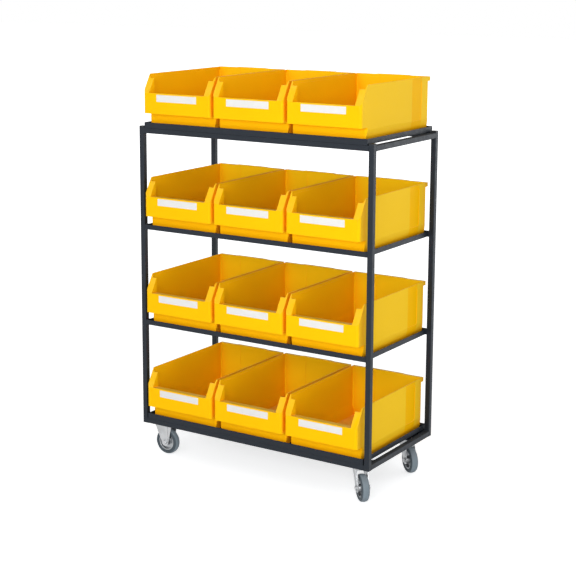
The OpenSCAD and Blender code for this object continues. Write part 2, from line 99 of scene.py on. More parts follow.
# Weight of large faces in the shading
FACE_WEIGHT = 80

# Tyres: steps round the wheel, gap to the wheel centre, depth of the tread, and the shoulder's arc
TYRE_STEPS = 96
TYRE_FIT = 0.00005
TREAD_DEPTH = 0.0038
SHOULDER_RADIUS = 0.0092
SHOULDER_INSET = 0.0100
SHOULDER_RISE = 0.0003
SHOULDER_STEPS = 9

# Weld beads: steps along and round, gap to the tube's corners, ripples and their swell, and the tapered ends
BEAD_STEPS = 18
BEAD_SIDES = 8
BEAD_INSET = 0.003
BEAD_RIPPLES = 5
BEAD_SWELL = 0.10
BEAD_TAPER = 6.0
BEAD_TIP = 0.25

# Tones of the finishes, with their alpha: wear, dusting, painted sheen, painted light, painted shade and
# painted highlight
FRAME_EDGES = (0.055, 0.060, 0.070, 1.0)
FRAME_DUST = (0.45, 0.44, 0.42, 1.0)
FRAME_SHINE = (0.84, 0.92, 1.0, 1.0)
BIN_SIDE_SHEEN = (0.90, 0.555, 0.018, 1.0)
BIN_BACK_PAINTED_LIGHT = (0.99, 0.63, 0.008, 1.0)
BIN_RECESS_SHADE = (0.90, 0.475, 0.000, 1.0)
BIN_GAP_SHADE = (0.98, 0.40, 0.001, 1.0)
BIN_EDGE_WEAR_AND_HIGHLIGHT = (1.0, 0.66, 0.04, 1.0)
BIN_DUST_AND_TOP_LIGHT = (1.0, 0.76, 0.24, 1.0)
CAP_EDGES = (0.05, 0.05, 0.052, 1.0)
CARD_EDGES = (0.82, 0.81, 0.79, 1.0)
ZINC_EDGES = (0.86, 0.87, 0.88, 1.0)
RUBBER_EDGES = (0.30, 0.33, 0.35, 1.0)
GREY_DUST = (0.42, 0.41, 0.39, 1.0)
WHITE = (1.0, 1.0, 1.0, 1.0)

# Surround: its tint, and its strength at the horizon and overhead
SKY_TINT = (0.96, 0.98, 1.0, 1.0)
HORIZON_STRENGTH = 0.78
ZENITH_STRENGTH = 0.45

# Glow that keeps the floor near white: distance and strength close to the trolley and far off
GLOW_NEAR = 0.8
GLOW_NEAR_STRENGTH = 0.62
GLOW_FAR = 7.0
GLOW_FAR_STRENGTH = 1.0

# Lamps, all turned to one point: name, place, width, height and power
LAMP_TARGET = (0.0, 0.0, 0.75)
LAMPS = (
    ("main light", (2.4, -4.5, 2.1), 3.0, 1.6, 114.0),
    ("front light", (-0.2, -5.0, 2.2), 2.4, 1.6, 36.0),
    ("side light", (4.2, -1.8, 0.4), 2.4, 0.8, 22.0),
    ("rear light", (2.9, 4.2, 1.3), 2.2, 2.0, 31.0),
)

# Camera sensor and far limit, and how often light is followed from face to face
SENSOR_WIDTH = 36.0
VIEW_LIMIT = 200.0
BOUNCES = 16
DIFFUSE_BOUNCES = 12

# Range that holds most of a noise's values
NOISE_LOW = 0.3
NOISE_HIGH = 0.7

# Kinds of group sockets
FLOAT = "NodeSocketFloat"
COLOUR = "NodeSocketColor"


class TrolleyFinish(bpy.types.PropertyGroup):
    """Colours of the trolley's finishes."""

    frame_colour: bpy.props.FloatVectorProperty(
        name="Frame paint",
        description="Powder coat on the tubes, rails and trays",
        subtype="COLOR", size=3, min=0.0, max=1.0, default=(0.0095, 0.0125, 0.018),
    )
    cap_colour: bpy.props.FloatVectorProperty(
        name="Post caps",
        description="Plastic of the caps in the post ends",
        subtype="COLOR", size=3, min=0.0, max=1.0, default=(0.010, 0.011, 0.012),
    )
    bin_colour: bpy.props.FloatVectorProperty(
        name="Bin plastic",
        description="Moulded plastic of the twelve bins",
        subtype="COLOR", size=3, min=0.0, max=1.0, default=(0.975, 0.525, 0.003),
    )
    card_colour: bpy.props.FloatVectorProperty(
        name="Label card",
        description="Blank card in the label pockets",
        subtype="COLOR", size=3, min=0.0, max=1.0, default=(0.735, 0.725, 0.705),
    )
    zinc_colour: bpy.props.FloatVectorProperty(
        name="Zinc plate",
        description="Bright plating on the forks, brackets, axles and bolts",
        subtype="COLOR", size=3, min=0.0, max=1.0, default=(0.48, 0.49, 0.50),
    )
    centre_colour: bpy.props.FloatVectorProperty(
        name="Wheel centre",
        description="Pressed centre of each wheel",
        subtype="COLOR", size=3, min=0.0, max=1.0, default=(0.40, 0.415, 0.43),
    )
    # Tyre sides take a darker copy of the rubber as painted shade, the running face a paler copy as painted
    # light
    tyre_shaded_colour: bpy.props.FloatVectorProperty(
        name="Tyre rubber",
        description="Grey rubber of the tyres' sides",
        subtype="COLOR", size=3, min=0.0, max=1.0, default=(0.060, 0.078, 0.092),
    )
    tread_lit_colour: bpy.props.FloatVectorProperty(
        name="Tyre tread",
        description="Rubber of the running face, painted paler",
        subtype="COLOR", size=3, min=0.0, max=1.0, default=(0.175, 0.215, 0.245),
    )


class TrolleySizes(bpy.types.PropertyGroup):
    """Small sizes that dress the plain solids."""

    bin_edge: bpy.props.FloatProperty(
        name="Bin edge", description="Rounding of the moulded edges",
        default=0.0009, min=0.0002, max=0.0014, unit="LENGTH",
    )
    steel_edge: bpy.props.FloatProperty(
        name="Steel edge", description="Rounding of the painted sheet and tube edges",
        default=0.0006, min=0.0002, max=0.0010, unit="LENGTH",
    )
    zinc_edge: bpy.props.FloatProperty(
        name="Pressed edge", description="Rounding of the plated caster parts",
        default=0.0006, min=0.0002, max=0.0010, unit="LENGTH",
    )
    cap_edge: bpy.props.FloatProperty(
        name="Cap edge", description="Rounding of the post caps",
        default=0.0008, min=0.0002, max=0.0012, unit="LENGTH",
    )
    card_edge: bpy.props.FloatProperty(
        name="Card edge", description="Rounding of the label cards",
        default=0.0002, min=0.0001, max=0.0003, unit="LENGTH",
    )
    hub_edge: bpy.props.FloatProperty(
        name="Centre edge", description="Rounding of the wheel centres",
        default=0.0006, min=0.0002, max=0.0010, unit="LENGTH",
    )
    bead: bpy.props.FloatProperty(
        name="Weld bead", description="Radius of the beads where rails meet posts",
        default=0.0026, min=0.0010, max=0.0040, unit="LENGTH",
    )
    ring: bpy.props.FloatProperty(
        name="Tyre ring", description="Height of the moulded ring on each side of a tyre",
        default=0.00035, min=0.0001, max=0.0004, unit="LENGTH",
    )


class TrolleyStage(bpy.types.PropertyGroup):
    """Camera and floor."""

    lens: bpy.props.FloatProperty(
        name="Lens", description="Focal length on a 36 mm sensor", default=89.2, min=20.0, max=200.0,
    )
    camera_place: bpy.props.FloatVectorProperty(
        name="Camera place", description="Where the camera stands",
        subtype="TRANSLATION", unit="LENGTH", size=3, default=(2.8118, -4.4048, 1.8760),
    )
    camera_tilt: bpy.props.FloatProperty(
        name="Camera tilt", description="How far the camera looks down",
        subtype="ANGLE", default=math.radians(10.54),
    )
    camera_turn: bpy.props.FloatProperty(
        name="Camera turn", description="How far the camera stands round to the right",
        subtype="ANGLE", default=math.radians(33.98),
    )
    camera_shift: bpy.props.FloatVectorProperty(
        name="Lens shift", description="Sideways and upright shift of the picture",
        size=2, default=(0.0665, -0.1007),
    )
    floor_size: bpy.props.FloatProperty(
        name="Floor", description="Side of the floor", default=60.0, min=4.0, max=200.0, unit="LENGTH",
    )
    floor_colour: bpy.props.FloatVectorProperty(
        name="Floor colour", description="Pale floor under the trolley",
        subtype="COLOR", size=3, min=0.0, max=1.0, default=(0.82, 0.82, 0.82),
    )


def wire(tree, source, target):
    """Links an output to an input."""
    tree.links.new(source, target)


def feed(tree, value, socket):
    """Gives an input an output to follow, or a plain number or colour."""
    if isinstance(value, bpy.types.NodeSocket):
        wire(tree, value, socket)
    else:
        socket.default_value = value


def shader_group(name, inputs, outputs):
    """A new shader node group with float or colour sockets, and its two end nodes."""
    tree = bpy.data.node_groups.new(name, "ShaderNodeTree")
    for label, kind, default in inputs:
        socket = tree.interface.new_socket(name=label, in_out="INPUT", socket_type=kind)
        socket.default_value = default
    for label, kind in outputs:
        tree.interface.new_socket(name=label, in_out="OUTPUT", socket_type=kind)
    start = tree.nodes.new("NodeGroupInput")
    end = tree.nodes.new("NodeGroupOutput")
    return tree, start, end


def noise(tree, scale, detail):
    """A noise texture in the object's own metres."""
    node = tree.nodes.new("ShaderNodeTexNoise")
    node.inputs["Detail"].default_value = detail
    feed(tree, scale, node.inputs["Scale"])
    spot = tree.nodes.new("ShaderNodeTexCoord")
    wire(tree, spot.outputs["Object"], node.inputs["Vector"])
    return node.outputs["Fac"]


def maths(tree, operation, first, second=None, clamp=False):
    """One step of arithmetic on one or two values."""
    node = tree.nodes.new("ShaderNodeMath")
    node.operation = operation
    node.use_clamp = clamp
    feed(tree, first, node.inputs[0])
    if second is not None:
        feed(tree, second, node.inputs[1])
    return node.outputs["Value"]


def blend(tree, factor, first, second, mode="MIX"):
    """A mix of two colours, by factor."""
    node = tree.nodes.new("ShaderNodeMix")
    node.data_type = "RGBA"
    node.blend_type = mode
    factor_input, first_input, second_input = node.inputs[0], node.inputs[6], node.inputs[7]
    feed(tree, factor, factor_input)
    feed(tree, first, first_input)
    feed(tree, second, second_input)
    return node.outputs[2]


def spread(tree, value, low, high, to_low, to_high):
    """A value taken from one range to another, and held at its ends."""
    node = tree.nodes.new("ShaderNodeMapRange")
    feed(tree, value, node.inputs["Value"])
    feed(tree, low, node.inputs["From Min"])
    feed(tree, high, node.inputs["From Max"])
    feed(tree, to_low, node.inputs["To Min"])
    feed(tree, to_high, node.inputs["To Max"])
    return node.outputs["Result"]


def make_grain():
    """Fine surface grain: a coarse and a fine noise added up as a height."""
    tree, start, end = shader_group(
        "surface_grain",
        [("Coarse", FLOAT, 400.0), ("Fine", FLOAT, 1800.0), ("Share", FLOAT, 0.4)],
        [("Height", FLOAT)],
    )
    coarse = noise(tree, start.outputs["Coarse"], 2.0)
    fine = noise(tree, start.outputs["Fine"], 1.0)
    part = maths(tree, "MULTIPLY", fine, start.outputs["Share"])
    wire(tree, maths(tree, "ADD", coarse, part), end.inputs["Height"])
    return tree


def make_drift():
    """Slow change of tone over a surface, and of its sheen."""
    tree, start, end = shader_group(
        "tone_drift",
        [
            ("Colour", COLOUR, (0.5, 0.5, 0.5, 1.0)),
            ("Scale", FLOAT, 6.0),
            ("Amount", FLOAT, 0.1),
            ("Sheen Low", FLOAT, 0.35),
            ("Sheen High", FLOAT, 0.5),
        ],
        [("Colour", COLOUR), ("Roughness", FLOAT)],
    )
    slow = noise(tree, start.outputs["Scale"], 3.0)
    high = maths(tree, "ADD", 1.0, start.outputs["Amount"])
    low = maths(tree, "SUBTRACT", 1.0, start.outputs["Amount"])
    level = spread(tree, slow, NOISE_LOW, NOISE_HIGH, low, high)
    grey = tree.nodes.new("ShaderNodeCombineColor")
    for label in ("Red", "Green", "Blue"):
        wire(tree, level, grey.inputs[label])
    toned = blend(tree, 1.0, start.outputs["Colour"], grey.outputs["Color"], "MULTIPLY")
    wire(tree, toned, end.inputs["Colour"])
    quick = noise(tree, maths(tree, "MULTIPLY", start.outputs["Scale"], 7.0), 4.0)
    dullest, shiniest = start.outputs["Sheen High"], start.outputs["Sheen Low"]
    sheen = spread(tree, quick, NOISE_LOW, NOISE_HIGH, shiniest, dullest)
    wire(tree, sheen, end.inputs["Roughness"])
    return tree


def make_edge():
    """Mask of the edges, broken up by noise, for worn edges and painted edge highlights."""
    tree, start, end = shader_group(
        "edge_wear_and_highlight",
        [("Radius", FLOAT, 0.001), ("Gain", FLOAT, 3.0), ("Break", FLOAT, 0.4), ("Scale", FLOAT, 120.0)],
        [("Mask", FLOAT)],
    )
    soft = tree.nodes.new("ShaderNodeBevel")
    soft.samples = 4
    wire(tree, start.outputs["Radius"], soft.inputs["Radius"])
    face = tree.nodes.new("ShaderNodeNewGeometry")
    dot = tree.nodes.new("ShaderNodeVectorMath")
    dot.operation = "DOT_PRODUCT"
    wire(tree, soft.outputs["Normal"], dot.inputs[0])
    wire(tree, face.outputs["Normal"], dot.inputs[1])
    bend = maths(tree, "SUBTRACT", 1.0, dot.outputs["Value"])
    gain = maths(tree, "MULTIPLY", bend, start.outputs["Gain"])
    patch = maths(tree, "MULTIPLY", noise(tree, start.outputs["Scale"], 3.0), start.outputs["Break"])
    wire(tree, maths(tree, "SUBTRACT", gain, patch, clamp=True), end.inputs["Mask"])
    return tree


def make_dust_and_top_light():
    """Mask of a thin film on faces that look up, for dusting and painted top light."""
    tree, start, end = shader_group(
        "dust_film_and_top_light",
        [("Amount", FLOAT, 0.1), ("Scale", FLOAT, 20.0)],
        [("Mask", FLOAT)],
    )
    face = tree.nodes.new("ShaderNodeNewGeometry")
    axes = tree.nodes.new("ShaderNodeSeparateXYZ")
    wire(tree, face.outputs["Normal"], axes.inputs["Vector"])
    up = spread(tree, axes.outputs["Z"], 0.3, 1.0, 0.0, 1.0)
    cloud = spread(tree, noise(tree, start.outputs["Scale"], 5.0), 0.35, 0.7, 0.3, 1.0)
    film = maths(tree, "MULTIPLY", up, cloud)
    wire(tree, maths(tree, "MULTIPLY", film, start.outputs["Amount"], clamp=True), end.inputs["Mask"])
    return tree


def groups():
    """The shared effects, each built once."""
    makers = {
        "surface_grain": make_grain,
        "tone_drift": make_drift,
        "edge_wear_and_highlight": make_edge,
        "dust_film_and_top_light": make_dust_and_top_light,
    }
    return {name: bpy.data.node_groups.get(name) or maker() for name, maker in makers.items()}


def place(tree, group, **values):
    """A group node in a material with its own values."""
    node = tree.nodes.new("ShaderNodeGroup")
    node.node_tree = group
    for label, value in values.items():
        node.inputs[label.replace("_", " ")].default_value = value
    return node


def solid(colour):
    """A colour setting with its alpha."""
    return (*colour, 1.0)


def finish_name(kind):
    """Name of a finish's material."""
    return f"{kind}_finish"


def base_material(kind):
    """A finish's material with only a Principled shader on its output."""
    material = bpy.data.materials.new(finish_name(kind))
    material.use_nodes = True
    tree = material.node_tree
    tree.nodes.clear()
    shader = tree.nodes.new("ShaderNodeBsdfPrincipled")
    output = tree.nodes.new("ShaderNodeOutputMaterial")
    wire(tree, shader.outputs["BSDF"], output.inputs["Surface"])
    return material, tree, shader


def add_bump(tree, shader, height, strength, distance):
    """Fine relief from a height."""
    bump = tree.nodes.new("ShaderNodeBump")
    bump.inputs["Strength"].default_value = strength
    bump.inputs["Distance"].default_value = distance
    wire(tree, height, bump.inputs["Height"])
    wire(tree, bump.outputs["Normal"], shader.inputs["Normal"])


def powder_coat(colour):
    """Anthracite powder coat with a fine orange peel and paler edges."""
    material, tree, shader = base_material("frame_paint")
    shared = groups()
    tone = place(tree, shared["tone_drift"], Colour=solid(colour), Scale=9.0, Amount=0.10,
                 Sheen_Low=0.44, Sheen_High=0.56)
    edge = place(tree, shared["edge_wear_and_highlight"], Radius=0.0012, Gain=2.2, Break=0.5, Scale=160.0)
    dust_and_top_light = place(tree, shared["dust_film_and_top_light"], Amount=0.05, Scale=35.0)
    dull = place(tree, shared["dust_film_and_top_light"], Amount=1.0, Scale=25.0)
    paler = blend(tree, edge.outputs["Mask"], tone.outputs["Colour"], FRAME_EDGES)
    dusty_and_top_lit = blend(tree, dust_and_top_light.outputs["Mask"], paler, FRAME_DUST)
    wire(tree, dusty_and_top_lit, shader.inputs["Base Color"])
    matt = spread(tree, dull.outputs["Mask"], 0.0, 0.6, tone.outputs["Roughness"], 1.0)
    wire(tree, matt, shader.inputs["Roughness"])
    peel = place(tree, shared["surface_grain"], Coarse=420.0, Fine=1500.0, Share=0.35)
    add_bump(tree, shader, peel.outputs["Height"], 0.10, 0.0006)
    shader.inputs["Specular IOR Level"].default_value = 0.28
    shader.inputs["Specular Tint"].default_value = FRAME_SHINE
    return material


def side_masks(tree):
    """Masks of a bin's outer sides and back (painted sheen), of its inner back (painted light), and of the
    recess in its sides (painted shade).
    """
    spot = tree.nodes.new("ShaderNodeTexCoord")
    axes = tree.nodes.new("ShaderNodeSeparateXYZ")
    wire(tree, spot.outputs["Object"], axes.inputs["Vector"])
    face = tree.nodes.new("ShaderNodeNewGeometry")
    facing = tree.nodes.new("ShaderNodeSeparateXYZ")
    wire(tree, face.outputs["Normal"], facing.inputs["Vector"])
    column = maths(tree, "ROUND", maths(tree, "DIVIDE", axes.outputs["X"], BIN_PITCH))
    across = maths(tree, "SUBTRACT", axes.outputs["X"], maths(tree, "MULTIPLY", column, BIN_PITCH))
    outward = maths(tree, "MULTIPLY", across, facing.outputs["X"])
    outside = spread(tree, outward, SIDES_FROM, SIDES_FULL, 0.0, 1.0)
    rearmost = spread(tree, axes.outputs["Y"], RECESS_REAR, RECESS_REAR + 2.0 * LINE_BLUR, 0.0, 1.0)
    back = maths(tree, "MULTIPLY", spread(tree, facing.outputs["Y"], 0.6, 0.9, 0.0, 1.0), rearmost)
    back_light_mask = maths(tree, "MULTIPLY", spread(tree, facing.outputs["Y"], -0.9, -0.6, 1.0, 0.0), rearmost)
    behind = spread(tree, axes.outputs["Y"], RECESS_FRONT - LINE_BLUR, RECESS_FRONT + LINE_BLUR, 0.0, 1.0)
    before = spread(tree, axes.outputs["Y"], RECESS_REAR - LINE_BLUR, RECESS_REAR + LINE_BLUR, 1.0, 0.0)
    recess = maths(tree, "MULTIPLY", outside, maths(tree, "MULTIPLY", behind, before))
    return maths(tree, "MAXIMUM", outside, back), back_light_mask, recess


def moulded_yellow(colour):
    """Moulded plastic: faint flow tone, texture, dusting; painted side sheen, back light, recess and gap
    shade, edge and top highlight.
    """
    material, tree, shader = base_material("bin_plastic")
    shared = groups()
    tone = place(tree, shared["tone_drift"], Colour=solid(colour), Scale=5.0, Amount=0.022,
                 Sheen_Low=0.30, Sheen_High=0.40)
    edge = place(tree, shared["edge_wear_and_highlight"], Radius=0.0012, Gain=1.6, Break=0.35, Scale=90.0)
    dust_and_top_light = place(tree, shared["dust_film_and_top_light"], Amount=0.40, Scale=18.0)
    outside, back_light_mask, recess = side_masks(tree)
    # Painted sheen: the outer sides and back are tinted paler and bluer, as the light falls across them
    wear_and_sheen = blend(tree, outside, tone.outputs["Colour"], BIN_SIDE_SHEEN)
    # Painted light: the inner face of the back wall is painted paler
    back_light_painted = blend(tree, back_light_mask, wear_and_sheen, BIN_BACK_PAINTED_LIGHT)
    # Painted shade: the recess in the sides is painted a richer orange, without the sides' painted sheen
    recess_painted_shade = blend(tree, recess, back_light_painted, BIN_RECESS_SHADE)
    # Painted shade: narrow gaps and inner corners are painted a darker orange by occlusion
    narrow = tree.nodes.new("ShaderNodeAmbientOcclusion")
    narrow.samples = 6
    narrow.inputs["Distance"].default_value = GAP_REACH
    shade = spread(tree, narrow.outputs["AO"], 0.25, 0.90, 0.9, 0.0)
    gap_painted_shade = blend(tree, shade, recess_painted_shade, BIN_GAP_SHADE)
    # Worn edges with painted highlight: the rounded edges are painted paler
    paler = blend(tree, edge.outputs["Mask"], gap_painted_shade, BIN_EDGE_WEAR_AND_HIGHLIGHT)
    # Dusting with painted light: faces that look up, such as the ledges, are painted paler and yellower
    dusty_and_top_lit = blend(tree, dust_and_top_light.outputs["Mask"], paler, BIN_DUST_AND_TOP_LIGHT)
    wire(tree, dusty_and_top_lit, shader.inputs["Base Color"])
    wire(tree, tone.outputs["Roughness"], shader.inputs["Roughness"])
    texture = place(tree, shared["surface_grain"], Coarse=900.0, Fine=2600.0, Share=0.5)
    add_bump(tree, shader, texture.outputs["Height"], 0.06, 0.0004)
    shader.inputs["Specular IOR Level"].default_value = 0.015
    return material


def black_plastic(colour):
    """Matte black plastic of the post caps."""
    material, tree, shader = base_material("cap_plastic")
    shared = groups()
    tone = place(tree, shared["tone_drift"], Colour=solid(colour), Scale=40.0, Amount=0.2,
                 Sheen_Low=0.45, Sheen_High=0.62)
    edge = place(tree, shared["edge_wear_and_highlight"], Radius=0.0008, Gain=2.0, Break=0.5, Scale=260.0)
    paler = blend(tree, edge.outputs["Mask"], tone.outputs["Colour"], CAP_EDGES)
    wire(tree, paler, shader.inputs["Base Color"])
    wire(tree, tone.outputs["Roughness"], shader.inputs["Roughness"])
    texture = place(tree, shared["surface_grain"], Coarse=1200.0, Fine=3000.0, Share=0.6)
    add_bump(tree, shader, texture.outputs["Height"], 0.15, 0.0004)
    shader.inputs["Specular IOR Level"].default_value = 0.35
    return material


def label_card(colour):
    """Blank white card with a faint paper tooth."""
    material, tree, shader = base_material("label_card")
    shared = groups()
    tone = place(tree, shared["tone_drift"], Colour=solid(colour), Scale=60.0, Amount=0.018,
                 Sheen_Low=0.55, Sheen_High=0.68)
    edge = place(tree, shared["edge_wear_and_highlight"], Radius=0.0006, Gain=1.4, Break=0.2, Scale=300.0)
    wear_and_sheen = blend(tree, edge.outputs["Mask"], tone.outputs["Colour"], CARD_EDGES)
    wire(tree, wear_and_sheen, shader.inputs["Base Color"])
    wire(tree, tone.outputs["Roughness"], shader.inputs["Roughness"])
    tooth = place(tree, shared["surface_grain"], Coarse=1500.0, Fine=5200.0, Share=0.8)
    add_bump(tree, shader, tooth.outputs["Height"], 0.08, 0.0003)
    shader.inputs["Specular IOR Level"].default_value = 0.25
    return material


def zinc_plate(kind, colour, rough_low, rough_high, scale):
    """Plated steel: cloudy brightness, fine rolling grain, brighter edges."""
    material, tree, shader = base_material(kind)
    shared = groups()
    tone = place(tree, shared["tone_drift"], Colour=solid(colour), Scale=scale, Amount=0.12,
                 Sheen_Low=rough_low, Sheen_High=rough_high)
    edge = place(tree, shared["edge_wear_and_highlight"], Radius=0.001, Gain=2.0, Break=0.4, Scale=220.0)
    dust_and_top_light = place(tree, shared["dust_film_and_top_light"], Amount=0.10, Scale=60.0)
    bright = blend(tree, edge.outputs["Mask"], tone.outputs["Colour"], ZINC_EDGES)
    dusty_and_top_lit = blend(tree, dust_and_top_light.outputs["Mask"], bright, GREY_DUST)
    wire(tree, dusty_and_top_lit, shader.inputs["Base Color"])
    wire(tree, tone.outputs["Roughness"], shader.inputs["Roughness"])
    rolled = place(tree, shared["surface_grain"], Coarse=700.0, Fine=2400.0, Share=0.6)
    add_bump(tree, shader, rolled.outputs["Height"], 0.08, 0.0004)
    shader.inputs["Metallic"].default_value = 1.0
    return material


def grey_rubber(kind, colour):
    """Non-marking grey rubber with a bloom of dusting and a fine moulded skin."""
    material, tree, shader = base_material(kind)
    shared = groups()
    tone = place(tree, shared["tone_drift"], Colour=solid(colour), Scale=28.0, Amount=0.10,
                 Sheen_Low=0.50, Sheen_High=0.66)
    edge = place(tree, shared["edge_wear_and_highlight"], Radius=0.0015, Gain=1.6, Break=0.5, Scale=150.0)
    dust_and_top_light = place(tree, shared["dust_film_and_top_light"], Amount=0.22, Scale=70.0)
    wear_and_sheen = blend(tree, edge.outputs["Mask"], tone.outputs["Colour"], RUBBER_EDGES)
    dusty_and_top_lit = blend(tree, dust_and_top_light.outputs["Mask"], wear_and_sheen, GREY_DUST)
    wire(tree, dusty_and_top_lit, shader.inputs["Base Color"])
    wire(tree, tone.outputs["Roughness"], shader.inputs["Roughness"])
    skin = place(tree, shared["surface_grain"], Coarse=600.0, Fine=2200.0, Share=0.6)
    add_bump(tree, shader, skin.outputs["Height"], 0.18, 0.0006)
    shader.inputs["Specular IOR Level"].default_value = 0.3
    return material


def finish(kind):
    """The material of a finish, built on first use."""
    found = bpy.data.materials.get(finish_name(kind))
    if found:
        return found
    look = bpy.context.scene.trolley_finish
    makers = {
        "frame_paint": lambda: powder_coat(look.frame_colour),
        "cap_plastic": lambda: black_plastic(look.cap_colour),
        "bin_plastic": lambda: moulded_yellow(look.bin_colour),
        "label_card": lambda: label_card(look.card_colour),
        "zinc_steel": lambda: zinc_plate("zinc_steel", look.zinc_colour, 0.30, 0.46, 30.0),
        "wheel_centre": lambda: zinc_plate("wheel_centre", look.centre_colour, 0.30, 0.44, 45.0),
        "tyre_rubber": lambda: grey_rubber("tyre_rubber", look.tyre_shaded_colour),
        "tyre_tread_painted_light": lambda: grey_rubber("tyre_tread_painted_light", look.tread_lit_colour),
    }
    return makers[kind]()


def dress(node, kind, edge, segments=2):
    """Gives a CAD node its finish and softly rounded edges."""
    piece = frame["nodes"][node]
    piece.data.materials.clear()
    piece.data.materials.append(finish(kind))
    weld = piece.modifiers.new("joined faces", "WELD")
    weld.merge_threshold = JOIN_DISTANCE
    flat = piece.modifiers.new("flat faces", "DECIMATE")
    flat.decimate_type = "DISSOLVE"
    flat.angle_limit = FLAT_BEND
    bevel = piece.modifiers.new("rounded edges", "BEVEL")
    bevel.width = edge
    bevel.segments = segments
    bevel.limit_method = "ANGLE"
    bevel.angle_limit = SHARP_BEND
    bevel.miter_outer = "MITER_PATCH"
    normal = piece.modifiers.new("even shading", "WEIGHTED_NORMAL")
    normal.mode = "FACE_AREA_WITH_ANGLE"
    normal.weight = FACE_WEIGHT
    normal.keep_sharp = False


def new_piece(name, mesh_maker, kind):
    """A new mesh object filled in by a function that takes a bmesh."""
    work = bmesh.new()
    mesh_maker(work)
    bmesh.ops.recalc_face_normals(work, faces=work.faces)
    mesh = bpy.data.meshes.new(name)
    work.to_mesh(mesh)
    work.free()
    for polygon in mesh.polygons:
        polygon.use_smooth = True
    mesh.materials.append(finish(kind))
    piece = bpy.data.objects.new(name, mesh)
    bpy.context.scene.collection.objects.link(piece)
    return piece


def lathe(work, profile, segments):
    """Turns a closed outline of (along, out) points about Z."""
    rings = []
    for step in range(segments):
        angle = 2.0 * math.pi * step / segments
        across, up = math.cos(angle), math.sin(angle)
        rings.append([work.verts.new((out * across, out * up, along)) for along, out in profile])
    count = len(profile)
    for step in range(segments):
        here, there = rings[step], rings[(step + 1) % segments]
        for point in range(count):
            after = (point + 1) % count
            work.faces.new((here[point], here[after], there[after], there[point]))


def wheel_joint(kind, end):
    """Axle point and axle direction of a wheel."""
    name = f"wheel_{kind}_{end}_spin"
    joint = next(entry for entry in frame["joints"] if entry["name"] == name)
    return Vector(joint["pos_m"]), Vector(joint["axis"]).normalized()


def tyre_profile(ring):
    """Half outline of a tyre from the rim to the middle of the tread, mirrored to a closed loop.

    The tyre is as wide as its solid, sits on the wheel centre and reaches the floor.
    """
    tyre_low, tyre_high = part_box("fixed_tyre_front")
    hub_low, hub_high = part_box("fixed_hub_front")
    half = (tyre_high.y - tyre_low.y) / 2.0
    inner = (hub_high.z - hub_low.z) / 2.0 + TYRE_FIT
    outer = wheel_joint("fixed", "front")[0].z
    # Lip at the rim, raised ring, and the hollow side up to the shoulder
    side = [
        (half - 0.0028, inner),
        (half - 0.0012, inner + 0.0006),
        (half - 0.0004, inner + 0.0016),
        (half - 0.0004 + ring, inner + 0.0024),
        (half - 0.0004, inner + 0.0032),
        (half - 0.0016, inner + 0.0040),
        (half - 0.0018, inner + 0.0062),
        (half - 0.0012, inner + 0.0070),
        (half - 0.0010, inner + 0.0076),
    ]
    shoulder = []
    for step in range(SHOULDER_STEPS):
        angle = math.radians(90.0 * (step + 0.5) / SHOULDER_STEPS)
        along = half - SHOULDER_INSET + SHOULDER_RADIUS * math.cos(angle)
        out = outer - SHOULDER_INSET + SHOULDER_RADIUS * math.sin(angle) + SHOULDER_RISE
        shoulder.append((along, out))
    # Slightly crowned running face
    tread = [(0.0042, outer - 0.0003), (0.0020, outer - 0.00012), (0.0006, outer - 0.00008), (0.0, outer)]
    right = side + shoulder + tread
    left = [(-along, out) for along, out in reversed(right[:-1])]
    return right + left


class TROLLEY_OT_frame_paint(bpy.types.Operator):
    """Paint the posts, rails, trays and mounting plates"""

    bl_idname = "trolley.frame_paint"
    bl_label = "Painted frame"

    def execute(self, context):
        edge = context.scene.trolley_sizes.steel_edge
        for node in POSTS + RAILS + SHEET_NODES:
            dress(node, "frame_paint", edge)
        return {"FINISHED"}


class TROLLEY_OT_post_caps(bpy.types.Operator):
    """Finish the caps in the post ends"""

    bl_idname = "trolley.post_caps"
    bl_label = "Post caps"

    def execute(self, context):
        edge = context.scene.trolley_sizes.cap_edge
        dress("post_caps", "cap_plastic", edge, segments=3)
        return {"FINISHED"}


def bead_path(work, start, end, lean_a, lean_b, radius):
    """A rippled weld bead in the corner between two faces."""
    along = end - start
    rings = []
    for step in range(BEAD_STEPS + 1):
        share = step / BEAD_STEPS
        swell = 1.0 + BEAD_SWELL * math.sin(share * 2.0 * math.pi * BEAD_RIPPLES)
        taper = min(1.0, BEAD_TAPER * share + BEAD_TIP, BEAD_TAPER * (1.0 - share) + BEAD_TIP)
        reach = radius * swell * taper
        middle = start + along * share
        ring = []
        for side in range(BEAD_SIDES):
            angle = 2.0 * math.pi * side / BEAD_SIDES
            offset = lean_a * (reach * math.cos(angle)) + lean_b * (reach * math.sin(angle))
            ring.append(work.verts.new(middle + offset))
        rings.append(ring)
    for here, there in zip(rings, rings[1:]):
        for side in range(BEAD_SIDES):
            after = (side + 1) % BEAD_SIDES
            work.faces.new((here[side], here[after], there[after], there[side]))
    work.faces.new(rings[0])
    work.faces.new(list(reversed(rings[-1])))


def level_beads(work, level, radius):
    """All the beads of the top or the bottom rails, above and below each joint with a post."""
    low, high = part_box(f"{level}_long_rails")
    side_low, side_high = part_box(f"{level}_cross_rails")
    tube = high.z - low.z
    right = Vector((1.0, 0.0, 0.0))
    back = Vector((0.0, 1.0, 0.0))
    up = Vector((0.0, 0.0, 1.0))
    for z in (low.z, high.z):
        for x in (low.x, high.x):
            for y in (low.y, high.y - tube):
                start = Vector((x, y + BEAD_INSET, z))
                end = Vector((x, y + tube - BEAD_INSET, z))
                bead_path(work, start, end, right, up, radius)
        for y in (side_low.y, side_high.y):
            for x in (side_low.x, side_high.x - tube):
                start = Vector((x + BEAD_INSET, y, z))
                end = Vector((x + tube - BEAD_INSET, y, z))
                bead_path(work, start, end, back, up, radius)


